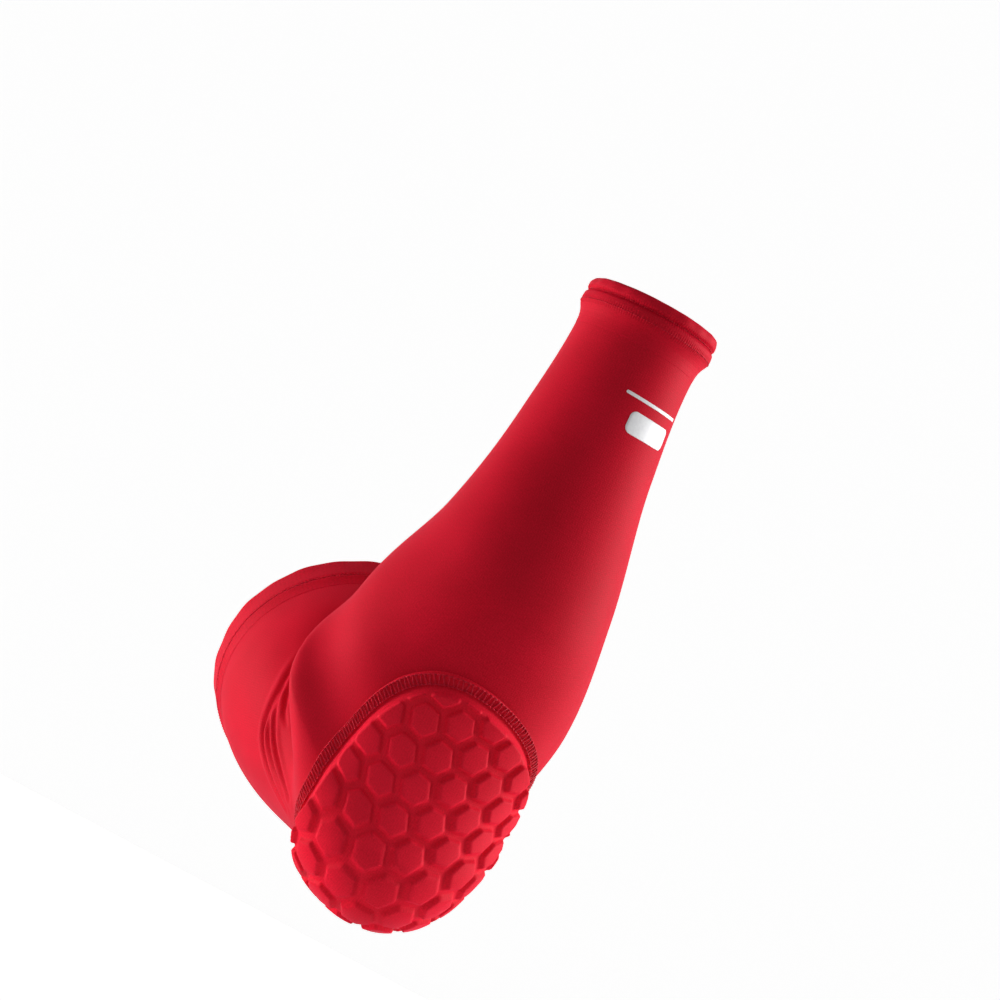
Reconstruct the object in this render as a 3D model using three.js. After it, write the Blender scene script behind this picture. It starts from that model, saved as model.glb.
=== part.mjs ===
// A padded compression arm sleeve in the shape it takes on a bent arm.
// Millimetres. The origin is the wearer's elbow joint, +Z runs up the forearm to the wrist, the elbow
// bends about Y, and the upper arm leaves towards -X. The back of the elbow faces +X and down.
//
// Every layer is built on one curved surface, the outside of the knit. A point on it is given by
// b, the distance along the back of the sleeve from the tip of the elbow (plus = towards the wrist), and
// psi, the angle round the arm from the back of the sleeve (plus = towards +Y).

import * as THREE from 'three';

// ---- Driving sizes -------------------------------------------------------------------------------

const BEND = THREE.MathUtils.degToRad(63.7); // angle inside the bent elbow, forearm to upper arm
const TIP_RADIUS = 25.3; // arc that the back of the elbow turns through
const CROOK_RADIUS = 8; // fold on the inside of the elbow
const CROOK_DEPTH = 33.3; // arc centre to the front of the arm at the crook
const JOINT_INSET = 15; // the elbow joint lies this far in front of the arc's centre
const FOREARM = 231.2; // arc centre to the wrist opening
const UPPER_ARM = 120.6; // arc centre to the upper-arm opening
const HEM_RUN = 18; // straight run at each opening

// Distance from the forearm's axis at these fractions of its length: back, front and half width.
const FOREARM_AT = [0, 0.22, 0.45, 0.72, 1 - HEM_RUN / FOREARM, 1];
const FOREARM_BACK = [TIP_RADIUS, 27, 39.8, 28.2, 24.1, 24.1];
const FOREARM_FRONT = [CROOK_DEPTH, 54, 37.6, 26, 26.2, 26.2];
const FOREARM_SIDE = [41.8, 49.6, 38.9, 29.1, 25.3, 25.3];
const UPPER_AT = [0, 1 - HEM_RUN / UPPER_ARM, 1];
const UPPER_BACK = [TIP_RADIUS, 49.5, 49.5];
const UPPER_FRONT = [CROOK_DEPTH, 54.9, 54.9];
const UPPER_SIDE = [37.9, 54.2, 54.2];

// A bulge of the forearm beside the crook: height, place and spread along b, and angles round the arm.
const MUSCLE = 20.5;
const MUSCLE_AT = 26.3;
const MUSCLE_LENGTH = 29.6;
const MUSCLE_FROM = THREE.MathUtils.degToRad(45);
const MUSCLE_PEAK = THREE.MathUtils.degToRad(120);

// The point of the elbow stands a little to the +Y side: how far, and its place and spread along b.
const TIP_LEAN = 5.4;
const TIP_LEAN_AT = -18.5;
const TIP_LEAN_LENGTH = 19.1;

const KNIT = 0.9; // thickness of the knit
const GAP = 0.3; // clearance between layers
const FACETS = 36; // facets round the arm

// The elbow zone bends with the arm. The two tubes beyond it stay rigid.
const ZONE_FOREARM = 97; // from the arc's centre, along the back of the forearm
const ZONE_UPPER = 70;

const PAD_HALF_WIDTH = 53;
const PAD_WIDEST = 8; // b where the pad is widest
const PAD_REACH_WRIST = 87; // from there to each end, along b
const PAD_REACH_UPPER = 42;
const PAD_ASIDE = 4; // middle of the pad where it is widest, to the side of the sleeve's own middle
const PAD_SWAY = 8; // how far the middle has moved to the other side at the wrist end
const LINING = 0.6;
const FOAM = 3.7;
const SKIN = 0.6;
const CELL = 10.2; // across the flats of a foam cell
const HILL_TOP = 11.9; // across the flats of the skin over a cell
const HILL_FOOT = 13.3;
const PITCH = 14.6; // centre to centre
const ROW_TURN = THREE.MathUtils.degToRad(24); // rows of cells lean this far from straight across
const CELL_AT = new THREE.Vector2(1.6, 26.2); // the centre of one cell, which sets out the others
const SPREAD = 0.0032; // how much the cells close up across the pad, for each mm towards the wrist
const SPREAD_FROM = 8; // b from which they do
const CELL_MARGIN = 12.2; // cell centre to the edge of the pad, at the least
const SEAM_WIDTH = 4;

const WRIST_HEM = 15;
const UPPER_HEM = 13;

// ---- The curved surface --------------------------------------------------------------------------

const HALF_TURN = (TIP_RADIUS * (Math.PI - BEND)) / 2; // half of the arc round the tip, along the back
const B_WRIST = HALF_TURN + FOREARM;
const B_UPPER = -HALF_TURN - UPPER_ARM;

const upperAxis = new THREE.Vector2(-Math.sin(BEND), Math.cos(BEND));
const upperBackward = new THREE.Vector2(-Math.cos(BEND), -Math.sin(BEND));
const crook = new THREE.Vector2(-Math.sin(BEND / 2), Math.cos(BEND / 2)).multiplyScalar(
  (CROOK_DEPTH + CROOK_RADIUS) / Math.sin(BEND / 2),
);
const CROOK_ALONG = crook.y; // where the fold leaves the front of either limb

// Smooth curve through (at, value) that never overshoots between two stations.
function profile(at, value, x) {
  const last = at.length - 1;
  const t = THREE.MathUtils.clamp(x, at[0], at[last]);
  let i = 0;
  while (i < last - 1 && t > at[i + 1]) i += 1;
  const slope = (k) => (value[k + 1] - value[k]) / (at[k + 1] - at[k]);
  const tangent = (k) => {
    if (k === 0 || k === last) return 0;
    const before = slope(k - 1);
    const after = slope(k);
    return before * after <= 0 ? 0 : (2 * before * after) / (before + after);
  };
  const h = at[i + 1] - at[i];
  const s = (t - at[i]) / h;
  return (
    value[i] * (1 + 2 * s) * (1 - s) * (1 - s) +
    tangent(i) * h * s * (1 - s) * (1 - s) +
    value[i + 1] * s * s * (3 - 2 * s) +
    tangent(i + 1) * h * s * s * (s - 1)
  );
}

// Share of the crook's offset that is used up at a fraction t of a limb.
function settle(t) {
  const s = THREE.MathUtils.clamp(t, 0, 1);
  return 0.6 * s + 0.4 * s * s * (3 - 2 * s);
}

// Front, back and half width of the ring at b. Front and back are points of the XZ plane.
function ring(b) {
  if (Math.abs(b) <= HALF_TURN) {
    const angle = (b - HALF_TURN) / TIP_RADIUS;
    const outward = new THREE.Vector2(Math.cos(angle), Math.sin(angle));
    return {
      front: crook.clone().addScaledVector(outward, CROOK_RADIUS),
      back: outward.clone().multiplyScalar(TIP_RADIUS),
      side: THREE.MathUtils.mapLinear(b, -HALF_TURN, HALF_TURN, UPPER_SIDE[0], FOREARM_SIDE[0]),
    };
  }
  const onForearm = b > 0;
  const length = onForearm ? FOREARM : UPPER_ARM;
  const at = onForearm ? FOREARM_AT : UPPER_AT;
  const along = Math.abs(b) - HALF_TURN;
  const alongFront = along + CROOK_ALONG * (1 - settle(along / (length - HEM_RUN)));
  const clearOfCrook = THREE.MathUtils.smoothstep(alongFront, CROOK_ALONG, CROOK_ALONG + 26);
  const frontRadius = profile(at, onForearm ? FOREARM_FRONT : UPPER_FRONT, alongFront / length);
  const front = THREE.MathUtils.lerp(CROOK_DEPTH, frontRadius, clearOfCrook);
  const back = profile(at, onForearm ? FOREARM_BACK : UPPER_BACK, along / length);
  const side = profile(at, onForearm ? FOREARM_SIDE : UPPER_SIDE, along / length);
  if (onForearm) {
    return { front: new THREE.Vector2(-front, alongFront), back: new THREE.Vector2(back, along), side };
  }
  const place = (distance, backward) =>
    upperAxis.clone().multiplyScalar(distance).addScaledVector(upperBackward, backward);
  return { front: place(alongFront, -front), back: place(along, back), side };
}

// The forearm's muscle, pushed out on the -Y side where the bent limbs press together.
function muscle(b, psi) {
  const round = THREE.MathUtils.smoothstep(-psi, MUSCLE_FROM, MUSCLE_PEAK);
  const fade = 1 - THREE.MathUtils.smoothstep(-psi, MUSCLE_PEAK, Math.PI);
  return MUSCLE * round * fade * Math.exp(-(((b - MUSCLE_AT) / MUSCLE_LENGTH) ** 2));
}

function knitPoint(b, psi) {
  const { front, back, side } = ring(b);
  const share = (1 + Math.cos(psi)) / 2;
  const middle = front.clone().lerp(back, share);
  const lean = TIP_LEAN * share * Math.exp(-(((b - TIP_LEAN_AT) / TIP_LEAN_LENGTH) ** 2));
  return new THREE.Vector3(middle.x, side * Math.sin(psi) - muscle(b, psi) + lean, middle.y);
}

// The point at a height above the knit's outer surface, along its normal.
function sleevePoint(b, psi, height) {
  const step = 0.5;
  const low = Math.max(b - step, B_UPPER);
  const high = Math.min(b + step, B_WRIST);
  const alongArm = knitPoint(high, psi).sub(knitPoint(low, psi));
  const roundArm = knitPoint(b, psi + 0.01).sub(knitPoint(b, psi - 0.01));
  const normal = roundArm.cross(alongArm).normalize();
  return knitPoint(b, psi).addScaledVector(normal, height);
}

// The pad is laid out flat: a is the distance round the arm from the back of the sleeve.
function padPoint(a, b, height) {
  const { front, back, side } = ring(b);
  const meanRadius = (front.distanceTo(back) / 2 + side) / 2;
  return sleevePoint(b, a / meanRadius, height);
}

// ---- Closed solids on the surface ----------------------------------------------------------------

function solid(points, faces) {
  const geometry = new THREE.BufferGeometry();
  const flat = points.flatMap((point) => [point.x, point.y, point.z]);
  geometry.setAttribute('position', new THREE.Float32BufferAttribute(flat, 3));
  geometry.setIndex(faces.flat());
  geometry.computeVertexNormals();
  return geometry;
}

// A cross-section loop carried round a closed path. place(i, k) gives point k of the loop at step i.
function closedBand(steps, corners, place) {
  const points = [];
  const faces = [];
  for (let i = 0; i < steps; i += 1) {
    for (let k = 0; k < corners; k += 1) {
      points.push(place(i, k));
      const here = i * corners;
      const next = ((i + 1) % steps) * corners;
      const up = (k + 1) % corners;
      faces.push([here + k, next + k, next + up], [here + k, next + up, here + up]);
    }
  }
  return solid(points, faces);
}

// A cross-section loop carried along an open path, with flat ends. Loops have an even number of
// corners: the first half runs along the underside and the second half back along the top.
function openBand(steps, corners, place) {
  const points = [];
  const faces = [];
  for (let i = 0; i < steps; i += 1) {
    for (let k = 0; k < corners; k += 1) {
      points.push(place(i, k));
      if (i === steps - 1) continue;
      const here = i * corners;
      const up = (k + 1) % corners;
      faces.push([here + k, here + corners + k, here + corners + up]);
      faces.push([here + k, here + corners + up, here + up]);
    }
  }
  const end = (steps - 1) * corners;
  for (let k = 0; k < corners / 2 - 1; k += 1) {
    const far = corners - 1 - k;
    faces.push([k, k + 1, far - 1], [k, far - 1, far]);
    faces.push([end + k, end + far - 1, end + k + 1], [end + k, end + far, end + far - 1]);
  }
  return solid(points, faces);
}

// Goes right round the arm. profileLoop is a list of [b, height], clockwise seen with the wrist on
// the right and the outside on top.
function ringSolid(profileLoop) {
  return closedBand(FACETS, profileLoop.length, (i, k) => {
    const [b, height] = profileLoop[k];
    return sleevePoint(b, (i / FACETS) * 2 * Math.PI, height);
  });
}

function rectangleLoop(bFrom, bTo, low, high, pieces) {
  const loop = [];
  for (let i = 0; i <= pieces; i += 1) loop.push([THREE.MathUtils.lerp(bFrom, bTo, i / pieces), high]);
  for (let i = pieces; i >= 0; i -= 1) loop.push([THREE.MathUtils.lerp(bFrom, bTo, i / pieces), low]);
  return loop;
}

// A strip along the arm at one angle, with the given number of points across it.
function stripSolid(bFrom, bTo, psi, width, low, high, pieces, across) {
  const loop = 2 * across;
  return openBand(pieces + 1, loop, (i, k) => {
    const b = THREE.MathUtils.lerp(bFrom, bTo, i / pieces);
    const column = k < across ? k : loop - 1 - k;
    const a = width * (column / (across - 1) - 0.5);
    return sleevePoint(b, psi + a / ring(b).side, k < across ? low : high);
  });
}

// ---- Pad layout ----------------------------------------------------------------------------------

// Reach of the pad from its widest place, on the side that past has the sign of.
const padReach = (past) => (past > 0 ? PAD_REACH_WRIST : PAD_REACH_UPPER);

// The middle of the pad across the sleeve. It sways to one side towards the wrist.
const padMiddle = (b) => PAD_ASIDE - PAD_SWAY * (Math.max(0, b - PAD_WIDEST) / PAD_REACH_WRIST) ** 4;

// Outline of the pad as a point of the flat layout. turn runs from 0 to 1 round the outline.
function outlinePoint(turn, inset) {
  const angle = turn * 2 * Math.PI;
  const b = PAD_WIDEST + (padReach(Math.cos(angle)) - inset) * Math.cos(angle);
  return new THREE.Vector2(padMiddle(b) + (PAD_HALF_WIDTH - inset) * Math.sin(angle), b);
}

const OUTLINE_STEPS = 72;
const outline = [];
for (let i = 0; i < OUTLINE_STEPS; i += 1) outline.push(outlinePoint(i / OUTLINE_STEPS, 0));

function distanceToOutline(point) {
  let nearest = Infinity;
  for (const corner of outline) nearest = Math.min(nearest, corner.distanceTo(point));
  return nearest;
}

function insideOutline(point) {
  const aside = (point.x - padMiddle(point.y)) / PAD_HALF_WIDTH;
  const past = point.y - PAD_WIDEST;
  return Math.hypot(aside, past / padReach(past)) < 1;
}

// Cells are set out on their own grid, x along a row and y across the rows. This lays it on the pad,
// where they are stretched apart over the point of the elbow and close up towards the wrist.
function laid(point) {
  const cos = Math.cos(ROW_TURN);
  const sin = Math.sin(ROW_TURN);
  const b = CELL_AT.y + point.x * sin + point.y * cos;
  const spread = 1 - SPREAD * (Math.max(b, SPREAD_FROM) - CELL_AT.y);
  return new THREE.Vector2(CELL_AT.x + (point.x * cos - point.y * sin) * spread, b);
}

// Rows of cell centres, each row half a pitch aside from the last.
function cellRows() {
  const rows = [];
  const rowPitch = (PITCH * Math.sqrt(3)) / 2;
  for (let r = -12; r <= 8; r += 1) {
    const aside = r % 2 === 0 ? 0 : PITCH / 2;
    const row = [];
    for (let c = -9; c <= 9; c += 1) {
      const centre = new THREE.Vector2(c * PITCH + aside, r * rowPitch);
      const spot = laid(centre);
      if (insideOutline(spot) && distanceToOutline(spot) > CELL_MARGIN) row.push(centre);
    }
    if (row.length > 0) rows.push(row);
  }
  return rows;
}

function hexCorner(centre, acrossFlats, k) {
  const angle = Math.PI / 2 + (k * Math.PI) / 3;
  const radius = acrossFlats / Math.sqrt(3);
  return new THREE.Vector2(centre.x + radius * Math.cos(angle), centre.y + radius * Math.sin(angle));
}

// ---- Pad solids ----------------------------------------------------------------------------------

const LINING_LOW = GAP + 0.2;
const LINING_HIGH = LINING_LOW + LINING;
const FOAM_LOW = LINING_HIGH + 0.9;
const FOAM_HIGH = FOAM_LOW + FOAM;
const WEB_HIGH = FOAM_LOW + 0.6;
const CREST = FOAM_HIGH + 0.7; // underside of the skin over a cell
const VALLEY = WEB_HIGH + 1.0; // underside of the skin between cells
const RIM = LINING_HIGH + 0.7; // underside of the skin at the pad's edge

// Flat layer inside the outline, in rows from the upper-arm end to the wrist end.
function liningSolid() {
  const rows = 40;
  const across = 13;
  const loop = 2 * across;
  return openBand(rows, loop, (i, k) => {
    const turn = THREE.MathUtils.lerp(0.48, 0.02, i / (rows - 1));
    const edge = outlinePoint(turn, 0);
    const column = k < across ? k : loop - 1 - k;
    const middle = padMiddle(edge.y);
    const a = middle + (edge.x - middle) * ((2 * column) / (across - 1) - 1);
    return padPoint(a, edge.y, k < across ? LINING_LOW : LINING_HIGH);
  });
}

// One row of cells, joined by the thin web that the foam is cut down to between them.
function foamRowSolid(row) {
  const sections = [];
  const flat = CELL / (2 * Math.sqrt(3));
  const webLow = FOAM_LOW + 0.15;
  row.forEach((centre, index) => {
    const left = centre.x - CELL / 2;
    const right = centre.x + CELL / 2;
    if (index > 0) sections.push([left, 2, webLow, WEB_HIGH]);
    sections.push([left, flat, FOAM_LOW, FOAM_HIGH]);
    sections.push([centre.x, 2 * flat, FOAM_LOW, FOAM_HIGH]);
    sections.push([right, flat, FOAM_LOW, FOAM_HIGH]);
    if (index < row.length - 1) sections.push([right, 2, webLow, WEB_HIGH]);
  });
  return openBand(sections.length, 6, (i, k) => {
    const [x, halfLength, low, high] = sections[i];
    const side = [1, 0, -1, -1, 0, 1][k];
    const spot = laid(new THREE.Vector2(x, row[0].y + side * halfLength));
    return padPoint(spot.x, spot.y, k < 3 ? low : high);
  });
}

// The moulded skin: a hexagonal hill over every cell, and a margin out to the pad's edge.
function skinSolid(rows) {
  const corners = new Map();
  const layout = [];
  const shared = (point) => {
    const column = Math.round((2 * point.x) / PITCH);
    const line = Math.round((2 * Math.sqrt(3) * point.y) / PITCH);
    const key = `${column},${line}`;
    if (!corners.has(key)) {
      corners.set(key, layout.length);
      layout.push({ point: laid(point), height: VALLEY });
    }
    return corners.get(key);
  };
  const own = (point, height) => {
    layout.push({ point: laid(point), height });
    return layout.length - 1;
  };
  const top = [];
  for (const centre of rows.flat()) {
    const middle = own(centre, CREST);
    const valley = [];
    const foot = [];
    const crest = [];
    for (let k = 0; k < 6; k += 1) {
      valley.push(shared(hexCorner(centre, PITCH, k)));
      foot.push(own(hexCorner(centre, HILL_FOOT, k), VALLEY));
      crest.push(own(hexCorner(centre, HILL_TOP, k), CREST));
    }
    for (let k = 0; k < 6; k += 1) {
      const n = (k + 1) % 6;
      top.push([valley[k], valley[n], foot[n]], [valley[k], foot[n], foot[k]]);
      top.push([foot[k], foot[n], crest[n]], [foot[k], crest[n], crest[k]]);
      top.push([crest[k], crest[n], middle]);
    }
  }
  addMargin(layout, top);
  const points = [];
  for (const thickness of [SKIN, 0]) {
    for (const { point, height } of layout) points.push(padPoint(point.x, point.y, height + thickness));
  }
  const count = layout.length;
  const faces = top.map((face) => [...face]);
  for (const [p, q, r] of top) faces.push([p + count, r + count, q + count]);
  for (const [p, q] of borderEdges(top)) faces.push([q, p, p + count], [q, p + count, q + count]);
  return solid(points, faces);
}

function borderEdges(faces) {
  const directed = new Set();
  const edges = [];
  for (const face of faces) for (let k = 0; k < 3; k += 1) directed.add(`${face[k]},${face[(k + 1) % 3]}`);
  for (const face of faces) {
    for (let k = 0; k < 3; k += 1) {
      const p = face[k];
      const q = face[(k + 1) % 3];
      if (!directed.has(`${q},${p}`)) edges.push([p, q]);
    }
  }
  return edges;
}

// A strip of faces from the border of the honeycomb out to the pad's edge.
function addMargin(layout, faces) {
  const next = new Map(borderEdges(faces).map(([p, q]) => [p, q]));
  const start = next.keys().next().value;
  const border = [start];
  while (next.get(border[border.length - 1]) !== start) border.push(next.get(border[border.length - 1]));
  const rimPoint = ({ x, y }) => {
    const past = y - PAD_WIDEST;
    const angle = Math.atan2((x - padMiddle(y)) / PAD_HALF_WIDTH, past / padReach(past));
    return outlinePoint((angle / (2 * Math.PI) + 1) % 1, 0);
  };
  let inner = border;
  for (const share of [0.5, 1]) {
    const outer = border.map((index) => {
      const { point } = layout[index];
      layout.push({
        point: point.clone().lerp(rimPoint(point), share),
        height: THREE.MathUtils.lerp(VALLEY, RIM, share),
      });
      return layout.length - 1;
    });
    inner.forEach((index, i) => {
      const n = (i + 1) % border.length;
      faces.push([outer[i], outer[n], inner[n]], [outer[i], inner[n], index]);
    });
    inner = outer;
  }
}

// The cover stitch that runs round the pad, on top of the skin's margin.
function padSeamSolid() {
  const steps = 84;
  return closedBand(steps, 4, (i, k) => {
    const outer = k === 0 || k === 3;
    const spot = outlinePoint(1 - i / steps, outer ? 0.4 : 0.4 + SEAM_WIDTH);
    const low = (outer ? RIM + 0.4 : VALLEY) + SKIN + GAP;
    return padPoint(spot.x, spot.y, k < 2 ? low + 0.6 : low);
  });
}

// ---- Hems ----------------------------------------------------------------------------------------

// Turns a distance from an opening into b. end is +1 at the wrist and -1 at the upper arm.
const fromOpening = (end, distance) => (end > 0 ? B_WRIST - distance : B_UPPER + distance);

function hemLoop(end, points) {
  const loop = points.map(([distance, height]) => [fromOpening(end, distance), height]);
  return end > 0 ? loop.reverse() : loop;
}

// The folded hem: an outer layer, and a lip that closes down over the end of the tube.
function hemSolid(end, width) {
  return ringSolid(
    hemLoop(end, [
      [0, -KNIT],
      [0, 1.7],
      [0.5, 2.2],
      [width - 0.5, 2.2],
      [width, 1.8],
      [width, GAP],
      [width - 0.8, GAP],
      [width - 0.8, 1.4],
      [0.8, 1.4],
      [0.8, -KNIT],
    ]),
  );
}

const elasticSolid = (end, width) =>
  ringSolid(
    hemLoop(end, [
      [1.4, GAP],
      [1.4, 1.1],
      [width - 1.6, 1.1],
      [width - 1.6, GAP],
    ]),
  );

// A row of stitches lying on the hem.
const stitchSolid = (end, distance) =>
  ringSolid(
    hemLoop(end, [
      [distance - 0.5, 2.2 + GAP],
      [distance - 0.3, 3.0],
      [distance + 0.3, 3.0],
      [distance + 0.5, 2.2 + GAP],
    ]),
  );

// ---- Materials -----------------------------------------------------------------------------------

const paint = (color, roughness) => new THREE.MeshStandardMaterial({ color, roughness, metalness: 0 });
const KNIT_RED = paint(0xc41c28, 0.85);
const SKIN_RED = paint(0xcc1f2c, 0.75);
const HEM_RED = paint(0xb91a26, 0.85);
const THREAD_RED = paint(0xa8141f, 0.7);
const LINING_BLACK = paint(0x26262a, 0.9);
const FOAM_GREY = paint(0x3a3b40, 0.95);
const ELASTIC_WHITE = paint(0xd9d9d6, 0.8);
const SILICONE = paint(0x5a1017, 0.35);
const PRINT_WHITE = paint(0xe9e9ec, 0.45);
const LABEL_WHITE = paint(0xf2f1ec, 0.6);

// ---- Assembly ------------------------------------------------------------------------------------

const sleeve = new THREE.Group();
sleeve.name = 'padded_arm_sleeve';

function add(name, geometry, material) {
  const mesh = new THREE.Mesh(geometry, material);
  mesh.name = name;
  sleeve.add(mesh);
}

const bZoneForearm = HALF_TURN + ZONE_FOREARM;
const bZoneUpper = -HALF_TURN - ZONE_UPPER;
const TUBE_END = 1.1; // the tube stops this far inside the hem's fold
const tubeParts = [
  ['upper', fromOpening(-1, TUBE_END), bZoneUpper - GAP / 2, 9],
  ['elbow', bZoneUpper + GAP / 2, bZoneForearm - GAP / 2, 26],
  ['forearm', bZoneForearm + GAP / 2, fromOpening(1, TUBE_END), 10],
];
for (const [part, bFrom, bTo, pieces] of tubeParts) {
  add(`${part}_knit`, ringSolid(rectangleLoop(bFrom, bTo, -KNIT, 0, pieces)), KNIT_RED);
}

// The closing seam of the knit, on the side of the arm that faces the body.
const SEAM_AT = THREE.MathUtils.degToRad(118);
const seamEnds = {
  upper: [fromOpening(-1, UPPER_HEM + 1), bZoneUpper - 0.5, 8],
  elbow: [bZoneUpper + 0.5, bZoneForearm - 0.5, 36],
  forearm: [bZoneForearm + 0.5, fromOpening(1, WRIST_HEM + 1), 14],
};
for (const [part, [bFrom, bTo, pieces]] of Object.entries(seamEnds)) {
  add(`${part}_flatlock_seam`, stripSolid(bFrom, bTo, SEAM_AT, 4.5, GAP, 0.9, pieces, 2), THREAD_RED);
}

add('wrist_hem', hemSolid(1, WRIST_HEM), HEM_RED);
add('wrist_elastic', elasticSolid(1, WRIST_HEM), ELASTIC_WHITE);
add('wrist_stitch_outer', stitchSolid(1, 5), THREAD_RED);
add('wrist_stitch_inner', stitchSolid(1, 9), THREAD_RED);
add('upper_hem', hemSolid(-1, UPPER_HEM), HEM_RED);
add('upper_elastic', elasticSolid(-1, UPPER_HEM), ELASTIC_WHITE);
add('upper_stitch', stitchSolid(-1, 6), THREAD_RED);

const gripper = rectangleLoop(fromOpening(-1, 2), fromOpening(-1, 12), -KNIT - 1.1, -KNIT - GAP, 2);
add('upper_gripper_tape', ringSolid(gripper), SILICONE);

add('pad_lining', liningSolid(), LINING_BLACK);
const rows = cellRows();
rows.forEach((row, index) => {
  add(`foam_row_${String(index + 1).padStart(2, '0')}`, foamRowSolid(row), FOAM_GREY);
});
add('pad_skin', skinSolid(rows), SKIN_RED);
add('pad_seam', padSeamSolid(), THREAD_RED);

// A plain printed patch on the back of the wrist, and a blank care label inside the upper opening.
const patchAt = fromOpening(1, 51);
add('wrist_print', stripSolid(patchAt, patchAt + 16, 0.4, 24, GAP, 0.6, 8, 8), PRINT_WHITE);
const labelAt = fromOpening(-1, 15);
const LABEL_AT = THREE.MathUtils.degToRad(150);
const labelLow = -KNIT - 0.8;
const label = stripSolid(labelAt, labelAt + 24, LABEL_AT, 16, labelLow, labelLow + 0.4, 6, 5);
add('care_label', label, LABEL_WHITE);

// Until here the arc at the back of the elbow was centred on zero. The part's origin is the elbow joint.
sleeve.position.set(Math.sin(BEND / 2) * JOINT_INSET, 0, -Math.cos(BEND / 2) * JOINT_INSET);

export default sleeve;
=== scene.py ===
"""A padded compression arm sleeve, in the shape it takes on a bent arm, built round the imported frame."""
import math
import bpy
import numpy as np
from mathutils import Matrix, Vector


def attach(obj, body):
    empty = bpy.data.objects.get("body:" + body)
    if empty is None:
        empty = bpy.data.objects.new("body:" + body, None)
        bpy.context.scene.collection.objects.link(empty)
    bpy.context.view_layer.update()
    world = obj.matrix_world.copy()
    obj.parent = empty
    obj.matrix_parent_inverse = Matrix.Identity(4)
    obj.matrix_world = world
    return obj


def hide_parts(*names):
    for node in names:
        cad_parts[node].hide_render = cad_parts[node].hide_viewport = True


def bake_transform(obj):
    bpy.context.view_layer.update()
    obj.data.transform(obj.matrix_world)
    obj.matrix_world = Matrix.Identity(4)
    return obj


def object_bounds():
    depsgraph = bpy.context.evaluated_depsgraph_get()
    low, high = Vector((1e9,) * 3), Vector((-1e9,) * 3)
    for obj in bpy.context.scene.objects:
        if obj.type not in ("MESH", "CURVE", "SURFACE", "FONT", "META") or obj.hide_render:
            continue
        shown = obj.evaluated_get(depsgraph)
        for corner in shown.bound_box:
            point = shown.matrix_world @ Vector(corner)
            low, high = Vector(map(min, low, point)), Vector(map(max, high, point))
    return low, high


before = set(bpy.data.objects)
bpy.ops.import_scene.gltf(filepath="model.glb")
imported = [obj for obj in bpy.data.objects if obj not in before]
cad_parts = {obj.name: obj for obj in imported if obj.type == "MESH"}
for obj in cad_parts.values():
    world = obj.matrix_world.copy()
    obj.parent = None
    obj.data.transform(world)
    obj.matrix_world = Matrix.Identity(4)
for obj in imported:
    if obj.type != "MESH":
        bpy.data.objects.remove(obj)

cad_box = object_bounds()

# ---- Sizes of the sleeve, in mm, the same as in the CAD source -------------------------------------

BEND = math.radians(63.7)
TIP_RADIUS, CROOK_RADIUS, CROOK_DEPTH, JOINT_INSET = 25.3, 8.0, 33.3, 15.0
FOREARM, UPPER_ARM, HEM_RUN = 231.2, 120.6, 18.0
FOREARM_AT = [0, 0.22, 0.45, 0.72, 1 - HEM_RUN / FOREARM, 1]
FOREARM_BACK = [TIP_RADIUS, 27, 39.8, 28.2, 24.1, 24.1]
FOREARM_FRONT = [CROOK_DEPTH, 54, 37.6, 26, 26.2, 26.2]
FOREARM_SIDE = [41.8, 49.6, 38.9, 29.1, 25.3, 25.3]
UPPER_AT = [0, 1 - HEM_RUN / UPPER_ARM, 1]
UPPER_BACK = [TIP_RADIUS, 49.5, 49.5]
UPPER_FRONT = [CROOK_DEPTH, 54.9, 54.9]
UPPER_SIDE = [37.9, 54.2, 54.2]
MUSCLE, MUSCLE_AT, MUSCLE_LENGTH = 20.5, 26.3, 29.6  # bulge of the forearm beside the crook
MUSCLE_FROM, MUSCLE_PEAK = math.radians(45), math.radians(120)
TIP_LEAN, TIP_LEAN_AT, TIP_LEAN_LENGTH = 5.4, -18.5, 19.1  # how far the point of the elbow stands to +Y
KNIT = 0.9
PAD_HALF_WIDTH, PAD_WIDEST, PAD_REACH_WRIST, PAD_REACH_UPPER = 53.0, 8.0, 87.0, 42.0
PAD_ASIDE, PAD_SWAY = 4.0, 8.0  # the pad's middle where it is widest, and how far it sways by the wrist end
PITCH, CELL, CELL_MARGIN = 14.6, 10.2, 12.2
ROW_TURN, CELL_AT = math.radians(24), (1.6, 26.2)  # how far the rows of cells lean, and one cell's centre
SPREAD, SPREAD_FROM = 0.0032, 8.0  # how the cells close up across the pad towards the wrist, from this b on
SEAM_AT = math.radians(118)
LABEL_AT, LABEL_SIZE = math.radians(150), (16.0, 24.0)

# ---- The curved surface ------------------------------------------------------------------------------
# b runs along the back of the sleeve from the tip of the elbow, plus towards the wrist, and psi is the
# angle round the arm from the back, plus towards +Y. The arc at the back is centred on zero.

HALF_TURN = TIP_RADIUS * (math.pi - BEND) / 2
B_WRIST = HALF_TURN + FOREARM
B_UPPER = -HALF_TURN - UPPER_ARM
PAD_TOP = PAD_WIDEST + PAD_REACH_WRIST
PAD_BOTTOM = PAD_WIDEST - PAD_REACH_UPPER
UPPER_AXIS = np.array([-math.sin(BEND), math.cos(BEND)])
UPPER_BACKWARD = np.array([-math.cos(BEND), -math.sin(BEND)])
CROOK_REACH = CROOK_DEPTH + CROOK_RADIUS
CROOK = np.array([-math.sin(BEND / 2), math.cos(BEND / 2)]) * CROOK_REACH / math.sin(BEND / 2)
TO_JOINT = np.array([math.sin(BEND / 2), 0, -math.cos(BEND / 2)]) * JOINT_INSET


def smooth(x, low, high):
    """0 before low, 1 after high, with a smooth step between."""
    t = np.clip((x - low) / (high - low), 0, 1)
    return t * t * (3 - 2 * t)


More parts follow.
